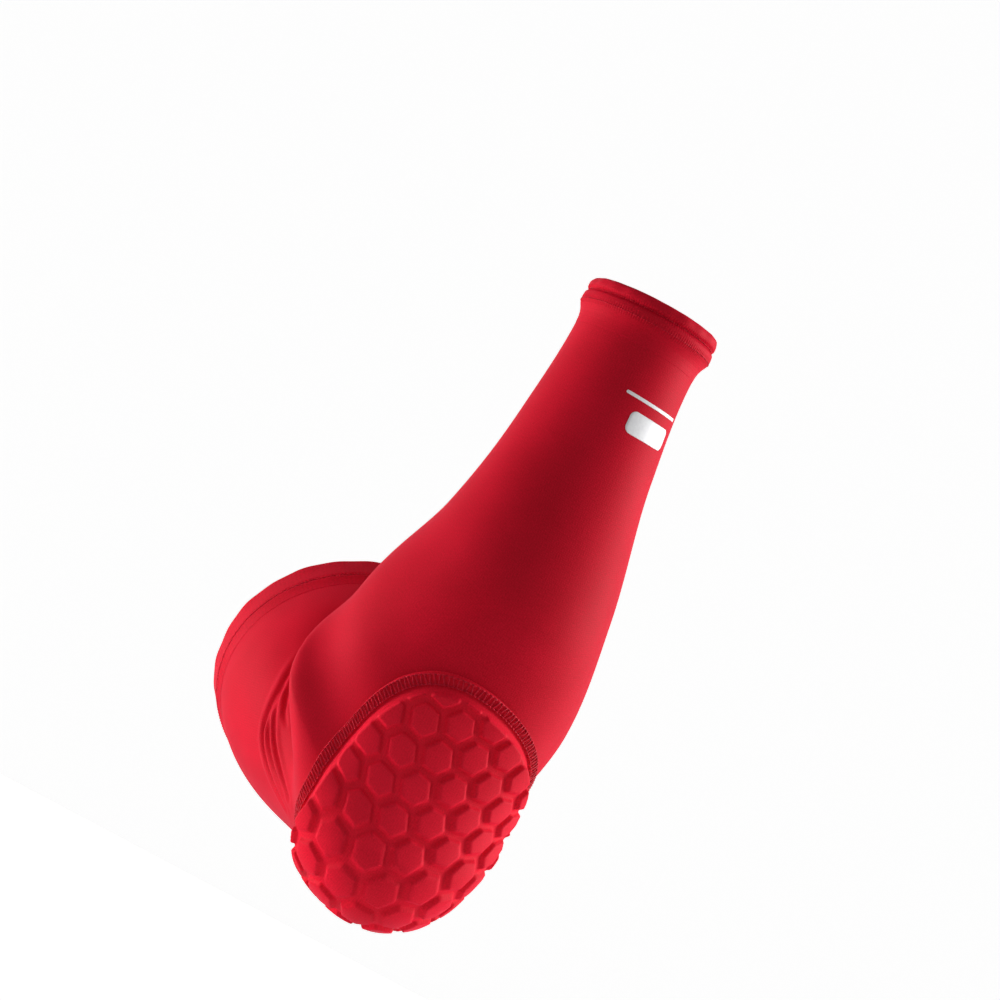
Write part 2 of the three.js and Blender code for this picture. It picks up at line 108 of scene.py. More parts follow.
def profile(at, value, x):
    """Smooth curve through (at, value) that never overshoots between two stations."""
    at, value = np.asarray(at, float), np.asarray(value, float)
    slope = np.diff(value) / np.diff(at)
    tangent = np.zeros(len(at))
    for k in range(1, len(at) - 1):
        if slope[k - 1] * slope[k] > 0:
            tangent[k] = 2 * slope[k - 1] * slope[k] / (slope[k - 1] + slope[k])
    x = np.clip(x, at[0], at[-1])
    i = np.clip(np.searchsorted(at, x, side="left") - 1, 0, len(at) - 2)
    width = at[i + 1] - at[i]
    s = (x - at[i]) / width
    start = value[i] * (1 + 2 * s) * (1 - s) ** 2 + tangent[i] * width * s * (1 - s) ** 2
    return start + value[i + 1] * s * s * (3 - 2 * s) + tangent[i + 1] * width * s * s * (s - 1)


def limb(along, length, at, back, front, side):
    """Along and depth of the front, and depth of the back and half width, beyond the turn."""
    share = np.clip(along / (length - HEM_RUN), 0, 1)
    settled = 0.6 * share + 0.4 * share * share * (3 - 2 * share)
    front_along = along + CROOK[1] * (1 - settled)
    clear = smooth(front_along, CROOK[1], CROOK[1] + 26)
    depth = CROOK_DEPTH + (profile(at, front, front_along / length) - CROOK_DEPTH) * clear
    return front_along, depth, profile(at, back, along / length), profile(at, side, along / length)


def ring(b):
    """Front point, back point and half width of the sleeve at b."""
    turn = (b - HALF_TURN) / TIP_RADIUS
    out = np.stack([np.cos(turn), np.sin(turn)], -1)
    along = np.abs(b) - HALF_TURN
    fa, fd, fb, fs = limb(along, FOREARM, FOREARM_AT, FOREARM_BACK, FOREARM_FRONT, FOREARM_SIDE)
    ua, ud, ub, us = limb(along, UPPER_ARM, UPPER_AT, UPPER_BACK, UPPER_FRONT, UPPER_SIDE)
    fore_front = np.stack([-fd, fa], -1)
    fore_back = np.stack([fb, along], -1)
    upper_front = ua[..., None] * UPPER_AXIS - ud[..., None] * UPPER_BACKWARD
    upper_back = along[..., None] * UPPER_AXIS + ub[..., None] * UPPER_BACKWARD
    turning = np.abs(b) <= HALF_TURN
    fore = (b > 0)[..., None]
    front = np.where(turning[..., None], CROOK + CROOK_RADIUS * out, np.where(fore, fore_front, upper_front))
    back = np.where(turning[..., None], TIP_RADIUS * out, np.where(fore, fore_back, upper_back))
    turn_side = UPPER_SIDE[0] + (FOREARM_SIDE[0] - UPPER_SIDE[0]) * (b + HALF_TURN) / (2 * HALF_TURN)
    return front, back, np.where(turning, turn_side, np.where(b > 0, fs, us))


def muscle(b, psi):
    """The forearm's muscle, pushed out on the -Y side where the bent limbs press together."""
    round_arm = smooth(-psi, MUSCLE_FROM, MUSCLE_PEAK) * (1 - smooth(-psi, MUSCLE_PEAK, math.pi))
    return MUSCLE * round_arm * np.exp(-(((b - MUSCLE_AT) / MUSCLE_LENGTH) ** 2))


def knit_point(b, psi):
    front, back, side = ring(b)
    share = ((1 + np.cos(psi)) / 2)[..., None]
    middle = front * (1 - share) + back * share
    lean = TIP_LEAN * share[..., 0] * np.exp(-(((b - TIP_LEAN_AT) / TIP_LEAN_LENGTH) ** 2))
    return np.stack([middle[..., 0], side * np.sin(psi) - muscle(b, psi) + lean, middle[..., 1]], -1)


def on_sleeve(b, psi, height):
    """Points at a height above the outside of the knit."""
    b, psi, height = np.broadcast_arrays(np.asarray(b, float), psi, height)
    along = knit_point(np.minimum(b + 0.5, B_WRIST), psi) - knit_point(np.maximum(b - 0.5, B_UPPER), psi)
    around = knit_point(b, psi + 0.01) - knit_point(b, psi - 0.01)
    normal = np.cross(around, along)
    normal /= np.linalg.norm(normal, axis=-1, keepdims=True) + 1e-12
    return knit_point(b, psi) + normal * height[..., None]


def mean_radius(b):
    front, back, side = ring(np.asarray(b, float))
    return (np.linalg.norm(front - back, axis=-1) / 2 + side) / 2


def on_pad(a, b, height):
    """The same for a point of the pad's flat layout, a across it and b along it."""
    return on_sleeve(b, a / mean_radius(b), height)


def from_opening(end, distance):
    """b at a distance from an opening. end is +1 at the wrist and -1 at the upper arm."""
    return B_WRIST - distance if end > 0 else B_UPPER + distance


# ---- Meshes ------------------------------------------------------------------------------------------


def piece(name, points, faces, cloth=None):
    """An object from points in mm. cloth holds, for each face corner, its place on the flat cloth."""
    mesh = bpy.data.meshes.new(name)
    mesh.from_pydata(((points + TO_JOINT) / 1000).tolist(), [], faces)
    if cloth is not None:
        layer = mesh.attributes.new("cloth", "FLOAT_VECTOR", "CORNER")
        flat = np.zeros((len(cloth), 3))
        flat[:, :2] = cloth / 1000
        layer.data.foreach_set("vector", flat.ravel())
    mesh.polygons.foreach_set("use_smooth", [True] * len(mesh.polygons))
    mesh.update()
    obj = bpy.data.objects.new(name, mesh)
    bpy.context.scene.collection.objects.link(obj)
    return obj


def cells_of(rows, cols, wrap):
    """Row and column of the four corners of every cell of a grid."""
    i, j = np.meshgrid(np.arange(rows - 1), np.arange(cols if wrap else cols - 1), indexing="ij")
    i, j = i.ravel(), j.ravel()
    return np.stack([i, i, i + 1, i + 1], -1), np.stack([j, j + 1, j + 1, j], -1)


def shell(name, outer, inner, flat, wrap):
    """A closed shell between two grids of points. flat has one more column where the grid wraps."""
    rows, cols = outer.shape[:2]
    r, c = cells_of(rows, cols, wrap)
    top = r * cols + c % cols
    under = top[:, ::-1] + rows * cols
    corner = [flat[r, c], flat[r[:, ::-1], c[:, ::-1]]]
    faces = [top, under]
    steps = np.arange(cols if wrap else cols - 1)
    for row, turned in ((0, False), (rows - 1, True)):
        here, there = row * cols + steps, row * cols + (steps + 1) % cols
        rim = np.stack([there, here, here + rows * cols, there + rows * cols], -1)
        place = np.stack([flat[row, steps + 1], flat[row, steps], flat[row, steps], flat[row, steps + 1]], 1)
        faces.append(rim[:, ::-1] if turned else rim)
        corner.append(place[:, ::-1] if turned else place)
    if not wrap:
        steps = np.arange(rows - 1)
        for col, turned in ((0, True), (cols - 1, False)):
            here, there = steps * cols + col, (steps + 1) * cols + col
            rim = np.stack([there, here, here + rows * cols, there + rows * cols], -1)
            first, second = flat[steps, col], flat[steps + 1, col]
            place = np.stack([second, first, first, second], 1)
            faces.append(rim[:, ::-1] if turned else rim)
            corner.append(place[:, ::-1] if turned else place)
    points = np.concatenate([outer.reshape(-1, 3), inner.reshape(-1, 3)])
    return piece(name, points, np.concatenate(faces).tolist(), np.concatenate(corner).reshape(-1, 2))


def closed_ring(name, loop_b, loop_height, steps, extra=None):
    """A profile of (b, height) swept right round the arm. extra adds height, from (profile, psi)."""
    psi = -math.pi + np.arange(steps + 1) * 2 * math.pi / steps
    height = np.broadcast_to(np.asarray(loop_height)[:, None], (len(loop_b), steps + 1))
    if extra is not None:
        height = height + extra(np.asarray(loop_b)[:, None], psi[None, :])
    b = np.broadcast_to(np.asarray(loop_b)[:, None], height.shape)
    points = on_sleeve(b[:, :-1], np.broadcast_to(psi[:-1], (len(loop_b), steps)), height[:, :-1])
    rows = len(loop_b)
    r, c = cells_of(rows + 1, steps, True)
    faces = (r % rows) * steps + c % steps
    length = np.concatenate([[0], np.cumsum(np.hypot(np.diff(loop_b), np.diff(loop_height)))])
    length = np.append(length, length[-1] + 0.5)
    flat = np.stack(np.broadcast_arrays(psi[c] * 30.0, length[r]), -1).reshape(-1, 2)
    return piece(name, points.reshape(-1, 3), faces.tolist(), flat)


THREAD_SIDES = 7


def strands(name, paths, up, radius):
    """Many short threads in one piece. paths is (threads, points, 3), up points away from the cloth."""
    count, steps = paths.shape[:2]
    along = np.gradient(paths, axis=1)
    along /= np.linalg.norm(along, axis=-1, keepdims=True) + 1e-12
    side = np.cross(along, up)
    side /= np.linalg.norm(side, axis=-1, keepdims=True) + 1e-12
    rise = np.cross(side, along)
    ends = np.sin(np.linspace(0.16, math.pi - 0.16, steps)) ** 0.35
    turn = np.arange(THREAD_SIDES) * 2 * math.pi / THREAD_SIDES
    ring_offset = side[:, :, None] * np.cos(turn)[:, None] + rise[:, :, None] * np.sin(turn)[:, None]
    points = paths[:, :, None] + ring_offset * (radius * ends)[None, :, None, None]
    r, c = cells_of(steps, THREAD_SIDES, True)
    one = r * THREAD_SIDES + c % THREAD_SIDES
    starts = np.arange(count) * steps * THREAD_SIDES
    faces = (one[None] + starts[:, None, None]).reshape(-1, 4).tolist()
    first_cap = np.arange(THREAD_SIDES)[None] + starts[:, None]
    last_cap = first_cap + (steps - 1) * THREAD_SIDES
    faces += first_cap[:, ::-1].tolist() + last_cap.tolist()
    return piece(name, points.reshape(-1, 3), faces)


# ---- Materials -----------------------------------------------------------------------------------------


class Material:
    """A node material: short calls for the nodes that every cloth here needs."""

    def __init__(self, name, color, roughness, **sockets):
        self.material = bpy.data.materials.new(name)
        self.material.use_nodes = True
        self.tree = self.material.node_tree
        self.shader = self.tree.nodes["Principled BSDF"]
        self.set(self.shader, {"Base Color": (*color, 1), "Roughness": roughness, **sockets})

    def set(self, node, values):
        for key, value in values.items():
            if isinstance(value, bpy.types.NodeSocket):
                self.tree.links.new(value, node.inputs[key])
            else:
                node.inputs[key].default_value = value

    def node(self, kind, inputs=(), **settings):
        node = self.tree.nodes.new("ShaderNode" + kind)
        for key, value in settings.items():
            setattr(node, key, value)
        self.set(node, dict(inputs))
        return node

    def place(self, on_cloth=False):
        if on_cloth:
            return self.node("Attribute", attribute_name="cloth").outputs["Vector"]
        return self.node("TexCoord").outputs["Object"]

    def scaled(self, vector, scale):
        mapping = self.node("Mapping", {"Vector": vector, "Scale": scale})
        return mapping.outputs["Vector"]

    def noise(self, vector, scale, detail=2.0, roughness=0.5):
        values = {"Vector": vector, "Scale": scale, "Detail": detail, "Roughness": roughness}
        return self.node("TexNoise", values).outputs["Fac"]

    def wave(self, vector, scale, direction, distortion):
        node = self.node("TexWave", {"Vector": vector, "Scale": scale, "Distortion": distortion})
        node.wave_type, node.bands_direction, node.wave_profile = "BANDS", direction, "SIN"
        return node.outputs["Fac"]

    def math(self, operation, a, b):
        return self.node("Math", {0: a, 1: b}, operation=operation).outputs[0]

    def ramp(self, value, stops):
        node = self.node("ValToRGB", {"Fac": value})
        ramp = node.color_ramp
        ramp.elements[0].position, ramp.elements[0].color = stops[0][0], (*stops[0][1], 1)
        ramp.elements[1].position, ramp.elements[1].color = stops[-1][0], (*stops[-1][1], 1)
        for position, color in stops[1:-1]:
            ramp.elements.new(position).color = (*color, 1)
        return node.outputs["Color"]

    def bump(self, height, strength, distance, normal=None):
        values = {"Height": height, "Strength": strength, "Distance": distance}
        if normal is not None:
            values["Normal"] = normal
        return self.node("Bump", values).outputs["Normal"]


STITCH = 0.5  # width of one knitted loop, in mm


def knit_material(name, dark, light, sheen):
    """Fine stretch knit: wales along the sleeve, courses across it, and a slow change of colour."""
    m = Material(name, light, 0.62)
    cloth = m.place(on_cloth=True)
    wale = m.wave(cloth, 1000 / STITCH / 6.283, "X", 1.5)
    course = m.wave(cloth, 1000 / (STITCH * 0.8) / 6.283, "Y", 1.5)
    loops = m.math("MULTIPLY", wale, course)
    grain = m.noise(m.scaled(cloth, (1.0, 0.6, 1.0)), 1900.0, 3.0, 0.65)
    slow = m.noise(m.place(), 34.0, 3.0)
    shade = m.math("ADD", m.math("MULTIPLY", grain, 0.62), m.math("MULTIPLY", loops, 0.08))
    shade = m.math("ADD", shade, m.math("MULTIPLY", slow, 0.3))
    color = m.ramp(shade, [(0.28, dark), (0.66, light)])
    fine = m.bump(loops, 0.15, 0.0001)
    normal = m.bump(grain, 0.5, 0.00012, fine)
    rough = m.node("MapRange", {"Value": grain, "To Min": 0.5, "To Max": 0.74}).outputs["Result"]
    m.set(m.shader, {
        "Base Color": color, "Normal": normal, "Roughness": rough, "Specular IOR Level": 0.05,
        "Sheen Weight": sheen, "Sheen Roughness": 0.38, "Sheen Tint": (1.0, 0.04, 0.16, 1)})
    return m.material


def thread_material(name, color):
    m = Material(name, color, 0.5)
    place = m.place()
    twist = m.wave(m.scaled(place, (1.0, 1.0, 1.6)), 900.0, "DIAGONAL", 0.8)
    tone = m.noise(place, 900.0, 2.0)
    dark = tuple(0.6 * c for c in color)
    m.set(m.shader, {
        "Base Color": m.ramp(tone, [(0.3, dark), (0.7, color)]), "Normal": m.bump(twist, 0.5, 0.00006),
        "Sheen Weight": 0.2, "Sheen Roughness": 0.4, "Sheen Tint": (1.0, 0.05, 0.2, 1),
        "Specular IOR Level": 0.12})
    return m.material


def plain_material(name, dark, light, roughness, scale, relief, **sockets):
    """A grained surface, for the film, the foam, the silicone and the hidden layers."""
    m = Material(name, light, roughness, **sockets)
    grain = m.noise(m.place(), scale, 4.0, 0.6)
    rough = m.node("MapRange", {
        "Value": grain, "To Min": roughness - 0.08, "To Max": roughness + 0.08}).outputs["Result"]
    m.set(m.shader, {
        "Base Color": m.ramp(grain, [(0.3, dark), (0.7, light)]), "Roughness": rough,
        "Normal": m.bump(grain, 0.4, relief)})
    return m.material


def woven_material(name, dark, light, pitch):
    """A plain weave with a slight shine, for the elastic and the label."""
    m = Material(name, light, 0.6)
    place = m.place()
    across = m.wave(place, 1 / pitch / 6.283, "Y", 0.2)
    along = m.wave(place, 1 / pitch / 6.283, "Z", 0.2)
    weave = m.math("MULTIPLY", across, along)
    m.set(m.shader, {
        "Base Color": m.ramp(weave, [(0.1, dark), (0.7, light)]), "Normal": m.bump(weave, 0.6, 0.0002),
        "Sheen Weight": 0.2})
    return m.material


KNIT_RED = knit_material("knit_red", (0.43, 0.0015, 0.010), (0.70, 0.0045, 0.026), 0.22)
PAD_RED = knit_material("pad_red", (0.60, 0.0045, 0.017), (0.86, 0.010, 0.036), 0.24)
HEM_RED = knit_material("hem_red", (0.44, 0.0015, 0.010), (0.71, 0.0045, 0.027), 0.24)
THREAD_RED = thread_material("thread_red", (0.70, 0.005, 0.028))
LINING = plain_material("lining_charcoal", (0.012, 0.012, 0.013), (0.03, 0.03, 0.033), 0.9, 900.0, 0.0002)
FOAM = plain_material("foam_charcoal", (0.03, 0.03, 0.034), (0.055, 0.055, 0.062), 0.9, 1400.0, 0.0001)
ELASTIC = woven_material("elastic_white", (0.45, 0.45, 0.44), (0.74, 0.74, 0.72), 0.0009)
SILICONE = plain_material("silicone_wine", (0.07, 0.004, 0.008), (0.11, 0.008, 0.014), 0.32, 160.0, 0.00008,
                          **{"Coat Weight": 0.25, "Coat Roughness": 0.25})
PRINT = plain_material("print_white", (0.76, 0.76, 0.78), (0.84, 0.84, 0.85), 0.42, 700.0, 0.00006)
LABEL = woven_material("label_white", (0.66, 0.66, 0.64), (0.84, 0.84, 0.81), 0.0006)


def finish_piece(obj, material, slot, *nodes):
    obj.data.materials.clear()
    obj.data.materials.append(material)
    if nodes:
        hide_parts(*nodes)


def bends(obj):
    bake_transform(obj)


# ---- The knit tube ------------------------------------------------------------------------------------


def bump_at(x, centre, width):
    """A rounded ridge of height 1."""
    return np.exp(-(((x - centre) / width) ** 2))


# Folds that run from the crook round the side of the elbow, as (b, angle round the arm in degrees), with
# the depth of the crease and the half width of its groove in mm.
CREASES = [
    ([(-74, -116), (-71, -104), (-68, -92), (-69, -78), (-68, -68), (-62, -57), (-52, -48), (-42, -43)],
     1.3, 1.0),
    ([(-68, -104), (-66, -92), (-66, -82), (-63, -74), (-57, -66), (-48, -59), (-39, -54)], 1.1, 0.9),
    ([(-66, -98), (-63, -86), (-59, -78), (-53, -71), (-46, -67), (-38, -62), (-32, -57)], 1.3, 0.9),
    ([(-64, -108), (-60, -96), (-54, -89), (-46, -86)], 0.7, 0.8),
    ([(-58, -112), (-50, -102), (-40, -97)], 0.5, 1.0),
    ([(-30, -150), (-24, -128), (-14, -112), (-4, -102)], 0.9, 1.3),
    ([(14, -165), (16, -145), (22, -128), (30, -118)], 0.7, 1.4),
    ([(-72, 128), (-65, 106), (-60, 88), (-54, 76), (-42, 70), (-26, 72)], 1.2, 1.1),
    ([(-62, 112), (-58, 96), (-50, 84), (-36, 78), (-20, 80)], 1.0, 1.0),
    ([(-28, 152), (-22, 132), (-12, 114), (2, 100)], 1.0, 1.3),
    ([(18, 158), (20, 138), (28, 120), (40, 106)], 0.8, 1.5),
]
CREASE_POINTS = 90
CREASE_REACH = 9  # how far from its line, in mm, a crease still shapes the knit


def crease_lines():
    """The folds as points in mm, close enough together to measure distances from."""
    lines = []
    for points, depth, half_width in CREASES:
        at = np.linspace(0, len(points) - 1, CREASE_POINTS)
        keys = np.arange(len(points))
        b = np.interp(at, keys, [p[0] for p in points])
        psi = np.radians(np.interp(at, keys, [p[1] for p in points]))
        b = np.convolve(np.pad(b, 8, mode="edge"), np.ones(17) / 17, mode="valid")
        psi = np.convolve(np.pad(psi, 8, mode="edge"), np.ones(17) / 17, mode="valid")
        fade = np.sin(np.linspace(0.25, math.pi - 0.25, CREASE_POINTS))
        lines.append((on_sleeve(b, psi, 0.0), depth * fade, half_width))
    return lines


CREASE_LINES = crease_lines()


def crease_height(b, psi):
    """Grooves with a soft ridge on either side, on the inside and the sides of the elbow."""
    b, psi = np.broadcast_arrays(np.asarray(b, float), psi)
    total = np.zeros(b.size)
    near = np.flatnonzero(np.abs(b.ravel()) < 95)
    points = on_sleeve(b.ravel()[near], psi.ravel()[near], 0.0)
    for line, depth, half_width in CREASE_LINES:
        above = np.all(points > line.min(0) - CREASE_REACH, axis=1)
        below = np.all(points < line.max(0) + CREASE_REACH, axis=1)
        close = np.flatnonzero(above & below)
        gap = np.linalg.norm(points[close][:, None] - line[None], axis=-1)
        nearest = gap.argmin(axis=1)
        distance = gap[np.arange(len(close)), nearest]
        ridge = 0.55 * bump_at(distance, 2.6 * half_width, 1.5 * half_width)
        total[near[close]] += depth[nearest] * (ridge - bump_at(distance, 0, half_width))
    return total.reshape(b.shape)


def knit_rows():
    """b of every row, closer together round the elbow."""
    b, rows = from_opening(-1, 1.1), []
    last = from_opening(1, 1.1)
    while b < last - 0.4:
        rows.append(b)
        b += 0.85 if abs(b) < 82 else 1.7
    return np.array(rows + [last])


def make_sleeve_knit():
    columns = 300
    b = knit_rows()[:, None]
    psi = (-math.pi + np.arange(columns + 1) * 2 * math.pi / columns)[None, :]
    lift = crease_height(b, psi)
    flat = np.stack(np.broadcast_arrays(psi * mean_radius(b), b), -1)
    outer = on_sleeve(b, psi, lift)[:, :-1]
    inner = on_sleeve(b, psi, lift - KNIT)[:, :-1]
    obj = shell("sleeve_knit", outer, inner, flat, True)
    finish_piece(obj, KNIT_RED, "knit", "upper_knit", "elbow_knit", "forearm_knit")
    bends(obj)


# ---- The pad --------------------------------------------------------------------------------------------


def pad_reach(past):
    return np.where(past > 0, PAD_REACH_WRIST, PAD_REACH_UPPER)


def pad_middle(b):
    return PAD_ASIDE - PAD_SWAY * (np.maximum(0, b - PAD_WIDEST) / PAD_REACH_WRIST) ** 4


def pad_width(b):
    past = b - PAD_WIDEST
    return PAD_HALF_WIDTH * np.sqrt(np.clip(1 - (past / pad_reach(past)) ** 2, 0, 1))


def outline(turn, inset=0.0):
    """Point of the pad's outline in the flat layout, moved inwards by inset."""
    angle = np.asarray(turn) * 2 * math.pi
    b = PAD_WIDEST + (pad_reach(np.cos(angle)) - inset) * np.cos(angle)
    return np.stack([pad_middle(b) + (PAD_HALF_WIDTH - inset) * np.sin(angle), b], -1)


def even_outline(spacing, inset):
    """Points at equal distances along the outline, which is closed."""
    dense = outline(np.linspace(0, 1, 4001), inset)
    length = np.concatenate([[0], np.cumsum(np.linalg.norm(np.diff(dense, axis=0), axis=1))])
    count = int(round(length[-1] / spacing))
    at = np.arange(count) * length[-1] / count
    return np.stack([np.interp(at, length, dense[:, k]) for k in (0, 1)], -1)


OUTLINE = even_outline(1.0, 0.0)


def to_outline(a, b):
    """Distance from points of the flat layout to the pad's outline."""
    points = np.stack([a.ravel(), b.ravel()], -1)
    start, step = OUTLINE, np.roll(OUTLINE, -1, axis=0) - OUTLINE
    nearest = np.full(len(points), 1e9)
    for s, d in zip(start, step):
        share = np.clip(((points - s) @ d) / (d @ d), 0, 1)
        gap = points - s - share[:, None] * d
        nearest = np.minimum(nearest, np.einsum("ij,ij->i", gap, gap))
    return np.sqrt(nearest).reshape(a.shape)


ROW_PITCH = PITCH * math.sqrt(3) / 2


def spread(b):
    """The cells are stretched apart over the point of the elbow and close up towards the wrist."""
    return 1 - SPREAD * (np.maximum(b, SPREAD_FROM) - CELL_AT[1])


def laid(x, y):
    """From the cells' own grid, x along a row and y across the rows, to the pad's flat layout."""
    cos, sin = math.cos(ROW_TURN), math.sin(ROW_TURN)
    b = x * sin + y * cos + CELL_AT[1]
    return (x * cos - y * sin) * spread(b) + CELL_AT[0], b


def from_layout(a, b):
    cos, sin = math.cos(ROW_TURN), math.sin(ROW_TURN)
    a, b = (a - CELL_AT[0]) / spread(b), b - CELL_AT[1]
    return a * cos + b * sin, b * cos - a * sin


def cell_centres():
    """Centres of the foam cells on their own grid, whole cells only."""
    centres = []
    for r in range(-12, 9):
        for c in range(-9, 10):
            x, y = c * PITCH + (0 if r % 2 == 0 else PITCH / 2), r * ROW_PITCH
            a, b = (np.array([v]) for v in laid(x, y))
            inside = abs(a[0] - pad_middle(b)[0]) < pad_width(b)[0]
            if inside and to_outline(a, b)[0] > CELL_MARGIN:
                centres.append((x, y))
    return centres


def hex_distance(a, b):
    """Distance from the nearest cell centre, measured square to the sides of its hexagon."""
    x, y = from_layout(a, b)
    best = np.full(a.shape, 1e9)
    nearest_row = np.round(y / ROW_PITCH)
    for offset in (-1, 0, 1):
        row = nearest_row + offset
        aside = np.where(row % 2 == 0, 0.0, PITCH / 2)
        dx = x - (np.round((x - aside) / PITCH) * PITCH + aside)
        dy = y - row * ROW_PITCH
        slanted = np.abs(dx) / 2 + np.abs(dy) * math.sqrt(3) / 2
        best = np.minimum(best, np.maximum(np.abs(dx), slanted))
    return best


# Outside of the pad's skin above the knit, at its cut edge, its seam, between the cells and on them.
EDGE_HEIGHT, SEAM_HEIGHT, VALLEY, CREST = 0.35, 1.15, 4.7, 6.3
SKIN = 0.6


def margin_height(edge):
    """Outside of the sewn margin, from its cut edge inwards."""
    return EDGE_HEIGHT + (SEAM_HEIGHT - EDGE_HEIGHT) * smooth(edge, 0, 0.8)


def pad_height(a, b, edge):
    """Outside of the skin: a sewn margin, a slope, and flat-topped cells with grooves between them."""
    base = margin_height(edge) + (VALLEY - SEAM_HEIGHT) * smooth(edge, 4.4, 8.0)
    q = hex_distance(a, b)
    cell = (1 - smooth(q, 5.1, 6.2)) * smooth(edge, 6.6, 8.0)
    crown = 0.25 * np.clip(1 - (q / 6.4) ** 2, 0, 1)
    return base + (CREST - base + crown) * cell


def make_pad_cover():
    turn = np.linspace(0.012, 1 - 0.012, 360) * math.pi
    past = -np.cos(turn)
    b = PAD_WIDEST + past * pad_reach(past)
    share = np.sin(np.linspace(-0.5, 0.5, 190) * math.pi * 0.93) / math.sin(0.465 * math.pi)
    rows, across = np.meshgrid(b, share, indexing="ij")
    a = pad_middle(rows) + across * pad_width(rows)
    edge = to_outline(a, rows)
    height = pad_height(a, rows, edge)
    under = np.maximum(height - SKIN, 0.12)
    flat = np.stack([a, rows], -1)
    obj = shell("pad_cover", on_pad(a, rows, height), on_pad(a, rows, under), flat, False)
    finish_piece(obj, PAD_RED, "pad_fabric", "pad_skin")
    bends(obj)


def make_pad_lining():
    """The cloth between the foam and the knit."""
    b = np.linspace(PAD_BOTTOM + 2, PAD_TOP - 2, 110)
    share = np.linspace(-1, 1, 56)
    rows, across = np.meshgrid(b, share, indexing="ij")
    a = pad_middle(rows) + across * np.maximum(pad_width(rows) - 1.6, 0.5)
    flat = np.stack([a, rows], -1)
    top, bottom = np.full(a.shape, 0.34), np.full(a.shape, 0.1)
    obj = shell("pad_backing", on_pad(a, rows, top), on_pad(a, rows, bottom), flat, False)
    finish_piece(obj, LINING, "lining", "pad_lining")
    bends(obj)


def make_foam():
    """A hexagonal block with eased edges in every whole cell."""
    turn = np.arange(24) * 2 * math.pi / 24
    sector = (turn + math.pi / 6) % (math.pi / 3) - math.pi / 6
    reach = CELL / 2 - 0.4
    edge_radius = reach / np.cos(sector)
    rings = [(1.0, "low"), (1.0, "mid"), (0.93, "top"), (0.6, "top"), (0.25, "top")]
    centres = np.array(cell_centres())
    rays = np.stack([np.cos(turn), np.sin(turn)], -1)
    points, faces = [], []
    for centre in centres:
        flats, levels = [], []
        for scale, level in rings:
            flats.append(centre + rays * (edge_radius * scale)[:, None])
            levels += [level] * len(turn)
        flat = np.concatenate(flats)
        a, b = laid(flat[:, 0], flat[:, 1])
        top = np.minimum(pad_height(a, b, to_outline(a, b)) - SKIN - 0.12, 5.75)
        floor = np.full(len(a), 0.45)
        level = np.array(levels)
        height = np.where(level == "low", floor, np.where(level == "mid", np.maximum(top - 0.45, 0.6), top))
        first = sum(len(p) for p in points)
        points.append(on_pad(a, b, height))
        r, c = cells_of(len(rings), len(turn), True)
        faces += (first + r * len(turn) + c % len(turn)).tolist()
        faces.append((first + np.arange(len(turn)))[::-1].tolist())
        faces.append((first + (len(rings) - 1) * len(turn) + np.arange(len(turn))).tolist())
    obj = piece("foam_cells", np.concatenate(points), faces)
    rows = [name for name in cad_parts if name.startswith("foam_row_")]
    finish_piece(obj, FOAM, "foam", *rows)
    bends(obj)


# ---- Stitching ------------------------------------------------------------------------------------------

CROSS_PITCH = 1.75
THREAD = 0.34  # radius


def ladder(name, centre, inward, place, half_width):
    """A cover stitch: threads that cross the seam, between two rows of needle stitches.

    centre and inward are (steps, 2) in a flat layout, and place(a, b, lift) puts a point on the cloth."""
    steps = len(centre)
    lean = 0.18 * CROSS_PITCH
    forward = np.stack([inward[:, 1], -inward[:, 0]], -1)
    across = np.linspace(-1, 1, 9)
    alternate = np.where(np.arange(steps) % 2 == 0, 1.0, -1.0)[:, None, None]
    flat = centre[:, None] + inward[:, None] * (across * half_width)[None, :, None]
    flat = flat + forward[:, None] * (across * lean)[None, :, None] * alternate
    arch = 0.3 + 0.24 * (1 - across ** 4)
    lift = np.broadcast_to(arch, flat.shape[:2])
    cross = place(flat[..., 0], flat[..., 1], lift)
    up = cross - place(flat[..., 0], flat[..., 1], lift - 0.5)
    paths, ups = [cross], [up]
    stitch = np.linspace(-0.46, 0.46, 9) * CROSS_PITCH
    for side in (-1, 1):
        row = centre[:, None] + inward[:, None] * (side * half_width * 0.86)
        row = row + forward[:, None] * stitch[None, :, None]
        lift = np.broadcast_to(0.34 + 0.34 * np.cos(stitch / CROSS_PITCH * math.pi), row.shape[:2])
        line = place(row[..., 0], row[..., 1], lift)
        paths.append(line)
        ups.append(line - place(row[..., 0], row[..., 1], lift - 0.5))
    obj = strands(name, np.concatenate(paths), np.concatenate(ups), THREAD)
    finish_piece(obj, THREAD_RED, "thread")
    bends(obj)
    return obj


def make_pad_seam():
    line = even_outline(CROSS_PITCH, 2.4)
    along = np.roll(line, -1, axis=0) - np.roll(line, 1, axis=0)
    along /= np.linalg.norm(along, axis=1, keepdims=True)
    inward = np.stack([-along[:, 1], along[:, 0]], -1)
    middle = np.array([0.0, PAD_WIDEST + 20])
    facing = np.sign(np.einsum("ij,ij->i", inward, middle - line))
    inward *= facing[:, None]

    def place(a, b, lift):
        return on_pad(a, b, margin_height(to_outline(a, b)) + lift)

    obj = ladder("pad_seam_threads", line, inward, place, 2.0)
    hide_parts("pad_seam")


